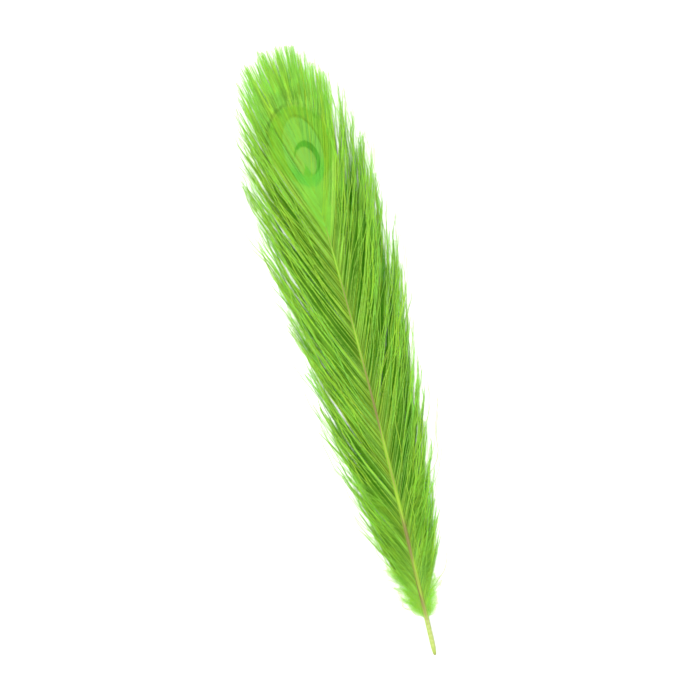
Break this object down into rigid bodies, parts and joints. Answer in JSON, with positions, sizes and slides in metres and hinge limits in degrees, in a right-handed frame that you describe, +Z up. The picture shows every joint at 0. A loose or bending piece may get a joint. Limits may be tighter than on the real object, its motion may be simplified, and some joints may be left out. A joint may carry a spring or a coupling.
{
  "type": "peacock feather",
  "caption": "Single peacock eye feather dyed lime green, lying face up: tapered quill and shaft, loose barbs on both sides, dense round eye and soft fringe.",
  "frame": {"origin": "middle of the underside, on the surface that the feather lies on", "axes": "+Y along the feather from the quill's tip towards the fringe, +Z up, out of the face that shows the eye, +X to the right of the shaft seen from above"},
  "size_m": [0.0726, 0.335, 0.0066],
  "materials": {
    "dyed_feather": "soft matte dyed keratin with a faint sheen"
  },
  "bodies": {
    "root": {"feather": "dyed_feather"}
  },
  "joints": []
}
